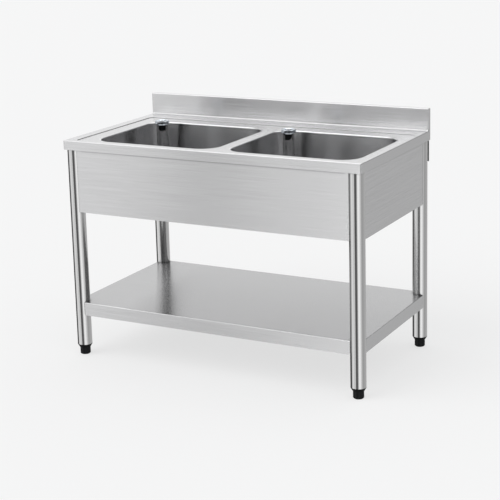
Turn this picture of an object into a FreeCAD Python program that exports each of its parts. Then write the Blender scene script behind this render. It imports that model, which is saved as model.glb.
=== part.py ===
import FreeCAD, Part

import math
import os
import re

import Sketcher
from FreeCAD import Placement, Rotation, Vector

# Free-standing catering sink: a folded worktop with two pressed bowls and an upstand behind,
# on four tube legs with a shelf between them, levelling feet and one overflow pipe per bowl.
# Lengths are in millimetres, angles in degrees.  The origin lies on the floor under the middle
# of the worktop, X runs to the right seen from the front, Y to the back and Z up.

SIZES = (
    # the whole unit, with its feet screwed right in
    ("overall_width", 1200),
    ("overall_depth", 650),
    ("worktop_height", 835),
    # folded worktop and upstand
    ("worktop_sheet", 1.5),
    ("edge_height", 35),
    ("edge_lip", 16),
    ("splash_height", 85),
    ("splash_thickness", 20),
    ("splash_cove", 6),
    ("fold_radius", 3),
    ("corner_radius", 4),
    # the sunk field of the worktop, inside its raised drip border
    ("field_sink", 2),
    ("border_left", 42),
    ("border_right", 28),
    ("border_front", 18),
    ("border_rear", 78),
    ("field_corner", 20),
    ("step_radius", 1),
    # bowls
    ("bowl_width", 500),
    ("bowl_length", 440),
    ("bowl_depth", 250),
    ("bowl_sheet", 1.2),
    ("bowl_corner", 70),
    ("bowl_draft", 1.5),
    ("bowl_floor_radius", 18),
    ("bowl_mouth_radius", 5),
    ("bowl_collar", 12),
    ("bowl_flange", 7),
    ("bowl_gap", 50),
    ("bowl_margin_left", 105),
    ("bowl_margin_front", 45),
    ("weld_gap", 0.05),
    # drain position from the bowl's left and rear walls, and its dish
    ("drain_from_side", 78),
    ("drain_from_rear", 80),
    ("drain_hole_radius", 30.2),
    ("drain_dish_radius", 42),
    ("drain_dish_depth", 5),
    # waste fitting
    ("waste_thread_radius", 29.8),
    ("waste_flange_radius", 40),
    ("waste_flange_thickness", 2),
    ("waste_neck_length", 34),
    ("waste_gasket_radius", 40),
    ("waste_gasket_thickness", 3),
    ("waste_nut_radius", 40),
    ("waste_nut_height", 10),
    ("waste_tail_length", 62),
    ("outlet_radius", 23.9),
    ("outlet_bore_radius", 20),
    ("outlet_length", 22),
    ("thread_fit", 0.05),
    # overflow pipe
    ("pipe_radius", 22.5),
    ("pipe_wall", 1.5),
    ("crown_rise", 3),
    ("pipe_notch_width", 34),
    ("pipe_notch_depth", 22),
    ("pipe_notch_radius", 14),
    ("pipe_notch_count", 3),
    ("plug_height", 22),
    ("plug_sink", 10),
    ("plug_top_radius", 29),
    ("plug_tip_radius", 23.6),
    ("seat_gap", 0.3),
    ("core_radius", 14),
    ("core_bore_radius", 2.5),
    ("core_drop", 44),
    ("core_collar", 4),
    ("crown_radius", 27.5),
    ("crown_height", 15),
    ("crown_skin", 1.2),
    ("crown_flare", 5),
    ("crown_lip", 4),
    ("crown_dish", 5),
    ("crown_hole_radius", 3.7),
    ("crown_weep_radius", 1.8),
    ("crown_hole_count", 10),
    # legs
    ("leg_radius", 28),
    ("leg_wall", 1.5),
    ("leg_inset", 30),
    ("leg_foot_height", 41),
    ("slip_fit", 0.1),
    # leg sockets welded under the worktop
    ("socket_plate", 72),
    ("socket_plate_thickness", 3),
    ("socket_plate_cut", 8),
    ("socket_plate_fit", 0.5),
    ("socket_length", 42),
    ("socket_wall", 2),
    ("set_screw_radius", 4),
    ("set_screw_drop", 22),
    ("set_screw_head_radius", 6.5),
    ("set_screw_head_height", 3),
    # levelling feet
    ("collar_height", 12),
    ("collar_tip_radius", 22),
    ("collar_band", 1.5),
    ("insert_length", 34),
    ("stud_radius", 6),
    ("stud_length", 58),
    ("foot_radius", 19.5),
    ("foot_chamfer", 3),
    ("foot_gap", 0.3),
    ("foot_rim", 1),
    ("foot_bore_floor", 12),
    ("flute_floor", 6),
    ("flute_radius", 2.4),
    ("flute_depth", 1),
    ("flute_count", 16),
    # apron panels and rear rail
    ("panel_sheet", 1.2),
    ("apron_setback", 10),
    ("apron_height", 237),
    ("apron_lip", 16),
    ("rail_height", 78),
    ("rail_drop", 4),
    ("rail_end_setback", 5),
    ("rail_setback", 0.5),
    # hat-section stiffener under the worktop between the bowls
    ("rib_width", 34),
    ("rib_height", 22),
    ("rib_flange", 5),
    # undershelf
    ("shelf_height", 210),
    ("shelf_edge", 50),
    ("shelf_setback", 9),
    ("shelf_lip", 14),
    ("shelf_fold_radius", 2.5),
    ("saddle_thickness", 2.5),
    ("saddle_height", 44),
    ("saddle_angle", 172),
    ("saddle_bolt_drop", 24),
    ("shelf_rib_width", 90),
    ("shelf_rib_height", 28),
    ("shelf_rib_flange", 20),
    # shelf fixings
    ("bolt_radius", 4),
    ("bolt_length", 20),
    ("bolt_head_radius", 7),
    ("bolt_head_height", 5.3),
    ("rivet_nut_radius", 5.5),
    ("rivet_nut_length", 12),
    ("hole_clearance", 0.2),
)

VALUE = dict(SIZES)
NEAR = 0.05

doc = FreeCAD.newDocument("sink_unit")
sheet = doc.addObject("Spreadsheet::Sheet", "Sizes")
for row, (alias, value) in enumerate(SIZES, start=1):
    sheet.set(f"A{row}", alias)
    sheet.set(f"B{row}", str(value))
    sheet.setAlias(f"B{row}", alias)
doc.recompute()

parts = []


# ---------------------------------------------------------------- drawing helpers

def bound(text):
    """Turn the size names in an expression into references to the sheet."""
    def reference(match):
        word = match.group()
        return f"Sizes.{word}" if word in VALUE else word
    return re.sub(r"[a-z_]+", reference, text)


def new_body(name, x="0", y="0", z="0", turn=0):
    """A body whose own origin stands at an expression-bound place."""
    body = doc.addObject("PartDesign::Body", name)
    body.Label = name
    place(body, x, y, z, turn)
    parts.append(body)
    return body


def place(item, x, y, z, turn=0):
    """Set a place by expressions, with a fixed turn about Z in degrees."""
    item.Placement = Placement(Vector(0, 0, 0), Rotation(Vector(0, 0, 1), turn))
    item.setExpression(".Placement.Base.x", bound(x))
    item.setExpression(".Placement.Base.y", bound(y))
    item.setExpression(".Placement.Base.z", bound(z))


def new_sketch(body, name, role, offset="0"):
    """An empty sketch on one of the body's own planes, moved along the plane's normal."""
    sketch = body.newObject("Sketcher::SketchObject", name)
    planes = [plane for plane in body.Origin.OriginFeatures if plane.Role == role]
    sketch.AttachmentSupport = [(planes[0], "")]
    sketch.MapMode = "FlatFace"
    sketch.setExpression(".AttachmentOffset.Base.z", bound(offset))
    return sketch


def fix_point(sketch, geometry, end, x, y):
    """Bind one sketch point's distances from the origin to expressions."""
    for kind, text in (("DistanceX", x), ("DistanceY", y)):
        index = sketch.addConstraint(Sketcher.Constraint(kind, -1, 1, geometry, end, 1.0))
        sketch.setExpression(f"Constraints[{index}]", bound(text))


def add_polygon(sketch, corners):
    """Closed straight-sided outline through (x, y) expressions."""
    count = len(corners)
    first = sketch.GeometryCount
    # the sides start as a regular polygon, and the constraints then draw them to their places
    reach = 10
    turns = [2 * math.pi * k / count for k in range(count)]
    ring = [Vector(reach * math.cos(turn), reach * math.sin(turn), 0) for turn in turns]
    for k in range(count):
        sketch.addGeometry(Part.LineSegment(ring[k], ring[(k + 1) % count]), False)
    for k in range(count):
        after = first + (k + 1) % count
        sketch.addConstraint(Sketcher.Constraint("Coincident", first + k, 2, after, 1))
    for k, (x, y) in enumerate(corners):
        fix_point(sketch, first + k, 1, x, y)


def add_rectangle(sketch, x_low, x_high, y_low, y_high):
    add_polygon(sketch, [(x_low, y_low), (x_high, y_low), (x_high, y_high), (x_low, y_high)])


def add_round_rectangle(sketch, x_low, x_high, y_low, y_high, radius):
    """Rectangle whose four corners are tangent arcs of one radius."""
    first = sketch.GeometryCount
    reach, rise, bend = 300, 200, 50
    sides = (
        (Vector(bend - reach, -rise, 0), Vector(reach - bend, -rise, 0)),
        (Vector(reach, bend - rise, 0), Vector(reach, rise - bend, 0)),
        (Vector(reach - bend, rise, 0), Vector(bend - reach, rise, 0)),
        (Vector(-reach, rise - bend, 0), Vector(-reach, bend - rise, 0)),
    )
    middles = ((1, -1), (1, 1), (-1, 1), (-1, -1))
    for number, (start, end) in enumerate(sides):
        sketch.addGeometry(Part.LineSegment(start, end), False)
        across, up = middles[number]
        middle = Vector(across * (reach - bend), up * (rise - bend), 0)
        circle = Part.Circle(middle, Vector(0, 0, 1), bend)
        turn = math.pi / 2 * (number - 1)
        sketch.addGeometry(Part.ArcOfCircle(circle, turn, turn + math.pi / 2), False)
    for number in range(4):
        line = first + 2 * number
        arc = line + 1
        after = first + (2 * number + 2) % 8
        sketch.addConstraint(Sketcher.Constraint("Tangent", line, 2, arc, 1))
        sketch.addConstraint(Sketcher.Constraint("Tangent", arc, 2, after, 1))
        sketch.addConstraint(Sketcher.Constraint("Horizontal" if number % 2 == 0 else "Vertical", line))
        if number:
            sketch.addConstraint(Sketcher.Constraint("Equal", first + 1, arc))
    limits = (
        ("DistanceY", (-1, 1, first, 1), y_low),
        ("DistanceX", (-1, 1, first + 2, 1), x_high),
        ("DistanceY", (-1, 1, first + 4, 1), y_high),
        ("DistanceX", (-1, 1, first + 6, 1), x_low),
        ("Radius", (first + 1,), radius),
    )
    starts = (-rise, reach, rise, -reach, bend)
    for (kind, target, text), start in zip(limits, starts):
        index = sketch.addConstraint(Sketcher.Constraint(kind, *target, float(start)))
        sketch.setExpression(f"Constraints[{index}]", bound(text))


def add_circle(sketch, x, y, radius):
    """Circle with its centre and radius bound to expressions."""
    index = sketch.GeometryCount
    sketch.addGeometry(Part.Circle(Vector(1, 1, 0), Vector(0, 0, 1), 1.0), False)
    fix_point(sketch, index, 3, x, y)
    limit = sketch.addConstraint(Sketcher.Constraint("Radius", index, 1.0))
    sketch.setExpression(f"Constraints[{limit}]", bound(radius))


def add_feature(body, kind, sketch, length, taper=None, reverse=False, both_ways=False):
    feature = body.newObject(f"PartDesign::{kind}", f"{sketch.Name}_{kind.lower()}")
    feature.Profile = sketch
    feature.setExpression("Length", bound(length))
    if taper:
        feature.setExpression("TaperAngle", bound(taper))
    feature.Reversed = reverse
    if both_ways:
        feature.SideType = "Symmetric"
    doc.recompute()
    return feature


def pad(body, sketch, length, **options):
    return add_feature(body, "Pad", sketch, length, **options)


def pocket(body, sketch, length, **options):
    """Cut along the sketch's plane, and make sure that the cut took material away."""
    before = body.Shape.Volume
    feature = add_feature(body, "Pocket", sketch, length, **options)
    if feature.Shape.Volume > before - NEAR:
        raise RuntimeError(f"{feature.Name} cuts nothing")
    return feature


def round_edges(body, radius, wanted):
    """Fillet the edges of the newest feature that the test picks out."""
    base = body.Tip
    edges = [f"Edge{k}" for k, edge in enumerate(base.Shape.Edges, start=1) if wanted(edge)]
    if not edges:
        raise RuntimeError(f"{body.Label}: no edge to round")
    fillet = body.newObject("PartDesign::Fillet", f"{body.Name}_round")
    fillet.Base = (base, edges)
    fillet.setExpression("Radius", bound(radius))
    doc.recompute()
    if fillet.Shape.isNull() or not fillet.Shape.Faces:
        raise RuntimeError(f"{fillet.Name} gives no shape")
    return fillet


def turned(name, profiles, x="0", y="0", z="0", turn=0):
    """A lathe-turned piece: outlines of (radius, height) turned about its own Z axis."""
    body = new_body(name, x, y, z, turn)
    for number, profile in enumerate(profiles):
        sketch = new_sketch(body, f"{name}_profile{number}", "XZ_Plane")
        add_polygon(sketch, profile)
        revolution = body.newObject("PartDesign::Revolution", f"{name}_turned{number}")
        revolution.Profile = sketch
        revolution.ReferenceAxis = (sketch, ["V_Axis"])
        revolution.Angle = 360
        doc.recompute()
    return body


def repeat_round(body, feature, count):
    """Repeat a feature evenly round the body's Z axis."""
    pattern = body.newObject("PartDesign::PolarPattern", f"{feature.Name}_ring")
    pattern.Originals = [feature]
    axis = [line for line in body.Origin.OriginFeatures if line.Role == "Z_Axis"]
    pattern.Axis = (axis[0], [""])
    pattern.Angle = 360
    pattern.setExpression("Occurrences", bound(count))
    body.Tip = pattern
    doc.recompute()
    return pattern


def upright(edge):
    """True for a straight vertical edge."""
    box = edge.BoundBox
    return box.ZLength > NEAR and box.XLength < NEAR and box.YLength < NEAR


def level(edge, height):
    """True for an edge that lies flat at a height."""
    return abs(edge.BoundBox.ZMin - height) < NEAR and abs(edge.BoundBox.ZMax - height) < NEAR


# ---------------------------------------------------------------- places that pieces share

FIELD = "worktop_height - field_sink"
EDGE_FOOT = "worktop_height - edge_height"
HALF_WIDTH = "overall_width / 2"
HALF_DEPTH = "overall_depth / 2"
SPLASH_FACE = "overall_depth / 2 - splash_thickness"
BOWL_Y = "-overall_depth / 2 + bowl_margin_front + bowl_length / 2"
BOWL_X = {
    "left": "-overall_width / 2 + bowl_margin_left + bowl_width / 2",
    "right": "-overall_width / 2 + bowl_margin_left + bowl_width * 1.5 + bowl_gap",
}
DRAIN_Y = f"{BOWL_Y} + bowl_length / 2 - drain_from_rear"
DRAIN_X = {side: f"{place_x} - bowl_width / 2 + drain_from_side" for side, place_x in BOWL_X.items()}
# the waste flange lies on the bowl's drain dish
DRAIN_TOP = f"{FIELD} - bowl_depth + bowl_sheet - drain_dish_depth"

# each corner's name, the sign of its X and Y, and the turn that brings +X and +Y inward
CORNERS = (
    ("front_left", -1, -1, 0),
    ("front_right", 1, -1, 90),
    ("rear_right", 1, 1, 180),
    ("rear_left", -1, 1, 270),
)


def leg_x(sign):
    return f"{sign} * (overall_width / 2 - leg_inset)"


def leg_y(sign):
    return f"{sign} * (overall_depth / 2 - leg_inset)"


# ---------------------------------------------------------------- worktop with its upstand

def make_worktop():
    """One folded and welded skin: raised border, sunk field, skirt, lips and hollow upstand."""
    body = new_body("worktop")
    slab = new_sketch(body, "worktop_slab", "XY_Plane", EDGE_FOOT)
    add_rectangle(slab, f"-{HALF_WIDTH}", HALF_WIDTH, f"-{HALF_DEPTH}", HALF_DEPTH)
    pad(body, slab, "edge_height")
    splash = new_sketch(body, "worktop_splash", "XY_Plane", "worktop_height")
    add_rectangle(splash, f"-{HALF_WIDTH}", HALF_WIDTH, SPLASH_FACE, HALF_DEPTH)
    pad(body, splash, "splash_height")

    # the field sinks below the border, with round corners and a soft step
    field = new_sketch(body, "worktop_field", "XY_Plane", "worktop_height")
    sides = (
        f"-{HALF_WIDTH} + border_left",
        f"{HALF_WIDTH} - border_right",
        f"-{HALF_DEPTH} + border_front",
        f"{SPLASH_FACE} - border_rear",
    )
    add_round_rectangle(field, *sides, "field_corner")
    pocket(body, field, "field_sink")
    top = VALUE["worktop_height"]
    half_width = VALUE["overall_width"] / 2
    half_depth = VALUE["overall_depth"] / 2
    splash_face = half_depth - VALUE["splash_thickness"]

    def on_outer_wall(edge):
        box = edge.BoundBox
        at_side = min(abs(box.XMin + half_width), abs(box.XMax - half_width)) < NEAR
        return at_side or abs(box.YMin + half_depth) < NEAR or abs(box.YMax - half_depth) < NEAR

    def at_splash_foot(edge):
        return abs(edge.BoundBox.YMin - splash_face) < NEAR and edge.BoundBox.YLength < NEAR

    def field_rim(edge):
        return level(edge, top) and not on_outer_wall(edge) and not at_splash_foot(edge)

    round_edges(body, "step_radius", field_rim)
    round_edges(body, "splash_cove", lambda edge: level(edge, top) and at_splash_foot(edge))
    round_edges(
        body,
        "corner_radius",
        lambda edge: upright(edge) and on_outer_wall(edge) and edge.BoundBox.YMax < splash_face,
    )
    round_edges(
        body,
        "fold_radius",
        lambda edge: level(edge, top + VALUE["splash_height"])
        and edge.BoundBox.XLength > half_width,
    )
    round_edges(
        body,
        "fold_radius",
        lambda edge: level(edge, top)
        and edge.BoundBox.YMin < splash_face - VALUE["border_rear"]
        and (
            abs(edge.BoundBox.XMin + half_width) < VALUE["corner_radius"] + NEAR
            or abs(edge.BoundBox.XMax - half_width) < VALUE["corner_radius"] + NEAR
        )
        and not field_rim(edge),
    )

    # hollow the folded skin from below: under the field, under the border, inside the upstand
    inside = (
        f"-{HALF_WIDTH} + worktop_sheet",
        f"{HALF_WIDTH} - worktop_sheet",
        f"-{HALF_DEPTH} + worktop_sheet",
        f"{HALF_DEPTH} - worktop_sheet",
    )
    hollow = new_sketch(body, "worktop_hollow", "XY_Plane", EDGE_FOOT)
    add_rectangle(hollow, *inside)
    pocket(body, hollow, "edge_height - field_sink - worktop_sheet", reverse=True)
    border = new_sketch(body, "worktop_border", "XY_Plane", f"{FIELD} - worktop_sheet")
    add_rectangle(border, *inside)
    add_round_rectangle(
        border,
        f"{sides[0]} - worktop_sheet",
        f"{sides[1]} + worktop_sheet",
        f"{sides[2]} - worktop_sheet",
        f"{sides[3]} + worktop_sheet",
        "field_corner + worktop_sheet",
    )
    pocket(body, border, "field_sink", reverse=True)
    upstand = new_sketch(body, "worktop_upstand", "XY_Plane", f"{FIELD} - worktop_sheet")
    add_rectangle(
        upstand,
        f"-{HALF_WIDTH} + worktop_sheet",
        f"{HALF_WIDTH} - worktop_sheet",
        f"{SPLASH_FACE} + worktop_sheet",
        f"{HALF_DEPTH} - worktop_sheet",
    )
    pocket(body, upstand, "field_sink + splash_height", reverse=True)

    # the skirt's return lips stop short of the legs
    lips = new_sketch(body, "worktop_lips", "XY_Plane", EDGE_FOOT)
    reach_x = f"({HALF_WIDTH} - leg_inset - leg_radius - edge_lip / 2)"
    reach_y = f"({HALF_DEPTH} - leg_inset - leg_radius - edge_lip / 2)"
    add_rectangle(lips, f"-{reach_x}", reach_x, f"-{HALF_DEPTH} + worktop_sheet / 2",
                  f"-{HALF_DEPTH} + edge_lip")
    add_rectangle(lips, f"-{HALF_WIDTH} + worktop_sheet / 2", f"-{HALF_WIDTH} + edge_lip",
                  f"-{reach_y}", reach_y)
    add_rectangle(lips, f"{HALF_WIDTH} - edge_lip", f"{HALF_WIDTH} - worktop_sheet / 2",
                  f"-{reach_y}", reach_y)
    add_rectangle(lips, f"-{reach_x}", reach_x, f"{HALF_DEPTH} - edge_lip",
                  f"{HALF_DEPTH} - worktop_sheet / 2")
    pad(body, lips, "worktop_sheet")

    # the bowls' flanges are welded flush into two round-cornered openings
    openings = new_sketch(body, "worktop_openings", "XY_Plane", FIELD)
    reach = "bowl_width / 2 + bowl_flange + weld_gap"
    stretch = "bowl_length / 2 + bowl_flange + weld_gap"
    for side in ("left", "right"):
        add_round_rectangle(
            openings,
            f"{BOWL_X[side]} - ({reach})",
            f"{BOWL_X[side]} + {reach}",
            f"{BOWL_Y} - ({stretch})",
            f"{BOWL_Y} + {stretch}",
            "bowl_corner + bowl_flange + weld_gap",
        )
    pocket(body, openings, "worktop_sheet * 2")

    return body


# ---------------------------------------------------------------- bowls

def drawn_form(name, shrink, drop):
    """The solid form of a bowl: a straight collar, then the drafted draw with a round floor edge."""
    form = doc.addObject("PartDesign::Body", name)
    for label, offset in (("collar", "0"), ("draw", "-bowl_collar")):
        outline = new_sketch(form, f"{name}_{label}", "XY_Plane", offset)
        add_round_rectangle(outline, f"-(bowl_width / 2 - {shrink})", f"bowl_width / 2 - {shrink}",
                            f"-(bowl_length / 2 - {shrink})", f"bowl_length / 2 - {shrink}",
                            f"bowl_corner - {shrink}")
        if label == "collar":
            pad(form, outline, "bowl_collar", reverse=True)
        else:
            pad(form, outline, f"{drop} - bowl_collar", taper="-bowl_draft", reverse=True)
    floor = form.Shape.BoundBox.ZMin
    round_edges(form, f"bowl_floor_radius - {shrink}", lambda edge: level(edge, floor))
    return form


def make_bowl(side):
    """A pressed bowl: flange, drawn walls with draft, round floor edge and a drain dish."""
    name = f"{side}_bowl"
    outer = drawn_form(f"{name}_outside", "0", "bowl_depth")
    flange = new_sketch(outer, f"{name}_flange", "XY_Plane")
    add_round_rectangle(flange, "-(bowl_width / 2 + bowl_flange)", "bowl_width / 2 + bowl_flange",
                        "-(bowl_length / 2 + bowl_flange)", "bowl_length / 2 + bowl_flange",
                        "bowl_corner + bowl_flange")
    pad(outer, flange, "bowl_sheet", reverse=True)
    underside = -VALUE["bowl_sheet"]

    def within_mouth(edge):
        box = edge.BoundBox
        across = max(abs(box.XMin), abs(box.XMax)) - VALUE["bowl_width"] / 2
        along = max(abs(box.YMin), abs(box.YMax)) - VALUE["bowl_length"] / 2
        return across < NEAR and along < NEAR

    round_edges(outer, "bowl_mouth_radius - bowl_sheet",
                lambda edge: level(edge, underside) and within_mouth(edge))
    # drain dish, pressed down into the floor
    drain = ("-bowl_width / 2 + drain_from_side", "bowl_length / 2 - drain_from_rear")
    dish = new_sketch(outer, f"{name}_dish", "XY_Plane", "-bowl_depth + bowl_sheet")
    add_circle(dish, *drain, "drain_dish_radius + bowl_sheet")
    pad(outer, dish, "drain_dish_depth + bowl_sheet", reverse=True)
    shell = doc.addObject("Part::Cut", f"{name}_shell")
    shell.Base = outer
    shell.Tool = drawn_form(f"{name}_inside", "bowl_sheet", "bowl_depth - bowl_sheet")
    doc.recompute()

    body = new_body(name, BOWL_X[side], BOWL_Y, FIELD)
    body.BaseFeature = shell
    doc.recompute()
    round_edges(body, "bowl_mouth_radius", lambda edge: level(edge, 0) and within_mouth(edge))
    sink = new_sketch(body, f"{name}_sink", "XY_Plane", "-bowl_depth + bowl_sheet")
    add_circle(sink, *drain, "drain_dish_radius")
    pocket(body, sink, "drain_dish_depth")
    hole = new_sketch(body, f"{name}_hole", "XY_Plane", "-bowl_depth + bowl_sheet")
    add_circle(hole, *drain, "drain_hole_radius")
    pocket(body, hole, "drain_dish_depth + bowl_sheet * 2")
    return body


# ---------------------------------------------------------------- aprons, rear rail and stiffeners

def make_panel(name, x, y, turn, span, top, height, face_end):
    """A folded panel between two legs: its local X runs along it and local Y points inward."""
    body = new_body(name, x, y, top, turn)
    section = new_sketch(body, f"{name}_section", "YZ_Plane")
    add_polygon(section, [
        ("0", "0"),
        ("0", f"-{height}"),
        ("apron_lip", f"-{height}"),
        ("apron_lip", f"-{height} + panel_sheet"),
        ("panel_sheet", f"-{height} + panel_sheet"),
        ("panel_sheet", "-panel_sheet"),
        ("apron_lip", "-panel_sheet"),
        ("apron_lip", "0"),
    ])
    pad(body, section, f"{span} - 2 * (leg_inset + leg_radius + hole_clearance)", both_ways=True)
    face = new_sketch(body, f"{name}_face", "XZ_Plane")
    add_rectangle(face, f"-({span} / 2 - ({face_end}))", f"{span} / 2 - ({face_end})", f"-{height}", "0")
    pad(body, face, "panel_sheet", reverse=True)
    return body


def make_panels():
    """Front and side aprons end on the legs' tubes; the rear rail passes behind the legs."""
    # the face stops where its inner side would meet the tube
    at_leg = (
        "leg_inset + sqrt(leg_radius ^ 2 - (leg_inset - apron_setback - panel_sheet) ^ 2) + seat_gap"
    )
    make_panel("front_apron", "0", f"-{HALF_DEPTH} + apron_setback", 0, "overall_width",
               EDGE_FOOT, "apron_height", at_leg)
    make_panel("right_apron", f"{HALF_WIDTH} - apron_setback", "0", 90, "overall_depth",
               EDGE_FOOT, "apron_height", at_leg)
    make_panel("left_apron", f"-{HALF_WIDTH} + apron_setback", "0", -90, "overall_depth",
               EDGE_FOOT, "apron_height", at_leg)
    make_panel("rear_rail", "0", f"{HALF_DEPTH} - rail_setback", 180, "overall_width",
               f"{EDGE_FOOT} - rail_drop", "rail_height", "rail_end_setback")


def make_hat_rib(name, x, y, z, turn, width, height, flange, sheet_name, length):
    """A hat-section stiffener: its open side is up and its local X runs along it."""
    body = new_body(name, x, y, z, turn)
    half = f"{width} / 2"
    web = f"({width} / 2 - {flange})"
    section = new_sketch(body, f"{name}_section", "YZ_Plane")
    add_polygon(section, [
        (f"-{half}", "0"),
        (f"-{half}", f"-{sheet_name}"),
        (f"-{web}", f"-{sheet_name}"),
        (f"-{web}", f"-{height}"),
        (web, f"-{height}"),
        (web, f"-{sheet_name}"),
        (half, f"-{sheet_name}"),
        (half, "0"),
        (f"{web} - {sheet_name}", "0"),
        (f"{web} - {sheet_name}", f"-{height} + {sheet_name}"),
        (f"-{web} + {sheet_name}", f"-{height} + {sheet_name}"),
        (f"-{web} + {sheet_name}", "0"),
    ])
    pad(body, section, length, both_ways=True)
    return body


# ---------------------------------------------------------------- undershelf

NOTCH = "leg_radius + slip_fit + saddle_thickness + weld_gap"


def make_shelf():
    """A folded shelf tray, open below, notched round the four legs."""
    body = new_body("undershelf", z="shelf_height")
    half_x = "(overall_width / 2 - shelf_setback)"
    half_y = "(overall_depth / 2 - shelf_setback)"
    tray = new_sketch(body, "shelf_tray", "XY_Plane")
    add_rectangle(tray, f"-{half_x}", half_x, f"-{half_y}", half_y)
    pad(body, tray, "shelf_edge", reverse=True)
    round_edges(body, "shelf_fold_radius", lambda edge: level(edge, 0))
    hollow = new_sketch(body, "shelf_hollow", "XY_Plane", "-shelf_edge")
    add_rectangle(hollow, f"-{half_x} + panel_sheet", f"{half_x} - panel_sheet",
                  f"-{half_y} + panel_sheet", f"{half_y} - panel_sheet")
    pocket(body, hollow, "shelf_edge - panel_sheet", reverse=True)
    # return lips along the bottom of the four folded edges
    lips = new_sketch(body, "shelf_lips", "XY_Plane", "-shelf_edge")
    reach_x = f"({half_x} - leg_inset - {NOTCH})"
    reach_y = f"({half_y} - leg_inset - {NOTCH})"
    for sign in (-1, 1):
        outer_y = sorted((f"{sign} * ({half_y} - panel_sheet / 2)", f"{sign} * ({half_y} - shelf_lip)"))
        add_rectangle(lips, f"-{reach_x}", reach_x, *outer_y)
        outer_x = sorted((f"{sign} * ({half_x} - panel_sheet / 2)", f"{sign} * ({half_x} - shelf_lip)"))
        add_rectangle(lips, *outer_x, f"-{reach_y}", reach_y)
    pad(body, lips, "panel_sheet")
    # each corner is cut away outside its leg and hollowed round it
    corners = new_sketch(body, "shelf_corners", "XY_Plane")
    rounds = new_sketch(body, "shelf_rounds", "XY_Plane")
    for _, across, along, _ in CORNERS:
        beyond = "(leg_inset + fold_radius)"
        add_rectangle(corners, leg_x(across), f"{leg_x(across)} + {across} * {beyond}",
                      leg_y(along), f"{leg_y(along)} + {along} * {beyond}")
        add_circle(rounds, leg_x(across), leg_y(along), NOTCH)
    pocket(body, corners, "shelf_edge + panel_sheet")
    pocket(body, rounds, "shelf_edge + panel_sheet")
    return body


# ---------------------------------------------------------------- legs and what holds them

LEG_TOP = f"{FIELD} - worktop_sheet - socket_plate_thickness"
TUBE_INSIDE = "leg_radius - leg_wall"


def cross_hole(body, label, height, radius, reach):
    """A round hole through the wall on the body's +X side."""
    sketch = new_sketch(body, f"{body.Name}_{label}", "YZ_Plane")
    add_circle(sketch, "0", height, radius)
    return pocket(body, sketch, reach, reverse=True)


def make_leg(corner, across, along, turn):
    """One leg: tube, welded socket above it, and the saddle that ties it to the shelf."""
    foot = (leg_x(across), leg_y(along))
    # the local +X axis points inward along the corner's diagonal
    inward = turn + 45
    leg = new_body(f"leg_{corner}", *foot, "0", inward)
    tube = new_sketch(leg, f"leg_{corner}_tube", "XY_Plane", "leg_foot_height")
    add_circle(tube, "0", "0", "leg_radius")
    add_circle(tube, "0", "0", TUBE_INSIDE)
    pad(leg, tube, f"{LEG_TOP} - leg_foot_height")
    cross_hole(leg, "shelf_hole", "shelf_height - saddle_bolt_drop", "rivet_nut_radius + weld_gap",
               "leg_radius + leg_wall")
    cross_hole(leg, "socket_hole", f"{LEG_TOP} - set_screw_drop", "set_screw_radius + weld_gap",
               "leg_radius + leg_wall")

    socket = new_body(f"leg_socket_{corner}", *foot, LEG_TOP, inward)
    plate = new_sketch(socket, f"leg_socket_{corner}_plate", "XY_Plane")
    near = "(leg_inset - worktop_sheet - socket_plate_fit)"
    far = f"(socket_plate - {near})"
    root = "sqrt(2)"
    add_polygon(plate, [
        (f"-{near} * {root}", "0"),
        (f"({far} - {near}) / {root}", f"-({far} + {near}) / {root}"),
        (f"({far} + socket_plate_cut) / {root}", f"(socket_plate_cut - {far}) / {root}"),
        (f"({far} + socket_plate_cut) / {root}", f"({far} - socket_plate_cut) / {root}"),
        (f"({far} - {near}) / {root}", f"({far} + {near}) / {root}"),
    ])
    pad(socket, plate, "socket_plate_thickness")
    stub = new_sketch(socket, f"leg_socket_{corner}_stub", "XY_Plane")
    add_circle(stub, "0", "0", f"{TUBE_INSIDE} - slip_fit")
    add_circle(stub, "0", "0", f"{TUBE_INSIDE} - slip_fit - socket_wall")
    pad(socket, stub, "socket_length", reverse=True)
    cross_hole(socket, "hole", "-set_screw_drop", "set_screw_radius + weld_gap", "leg_radius")

    saddle = new_body(f"shelf_saddle_{corner}", *foot, "shelf_height", inward)
    wall = new_sketch(saddle, f"shelf_saddle_{corner}_wall", "XZ_Plane")
    add_rectangle(wall, "leg_radius + slip_fit", "leg_radius + slip_fit + saddle_thickness",
                  "-saddle_height", "0")
    bend = saddle.newObject("PartDesign::Revolution", f"shelf_saddle_{corner}_bend")
    bend.Profile = wall
    bend.ReferenceAxis = (wall, ["V_Axis"])
    bend.setExpression("Angle", bound("saddle_angle"))
    bend.Midplane = True
    doc.recompute()
    cross_hole(saddle, "hole", "-saddle_bolt_drop", "bolt_radius + hole_clearance",
               "leg_radius + 2 * saddle_thickness")


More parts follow.
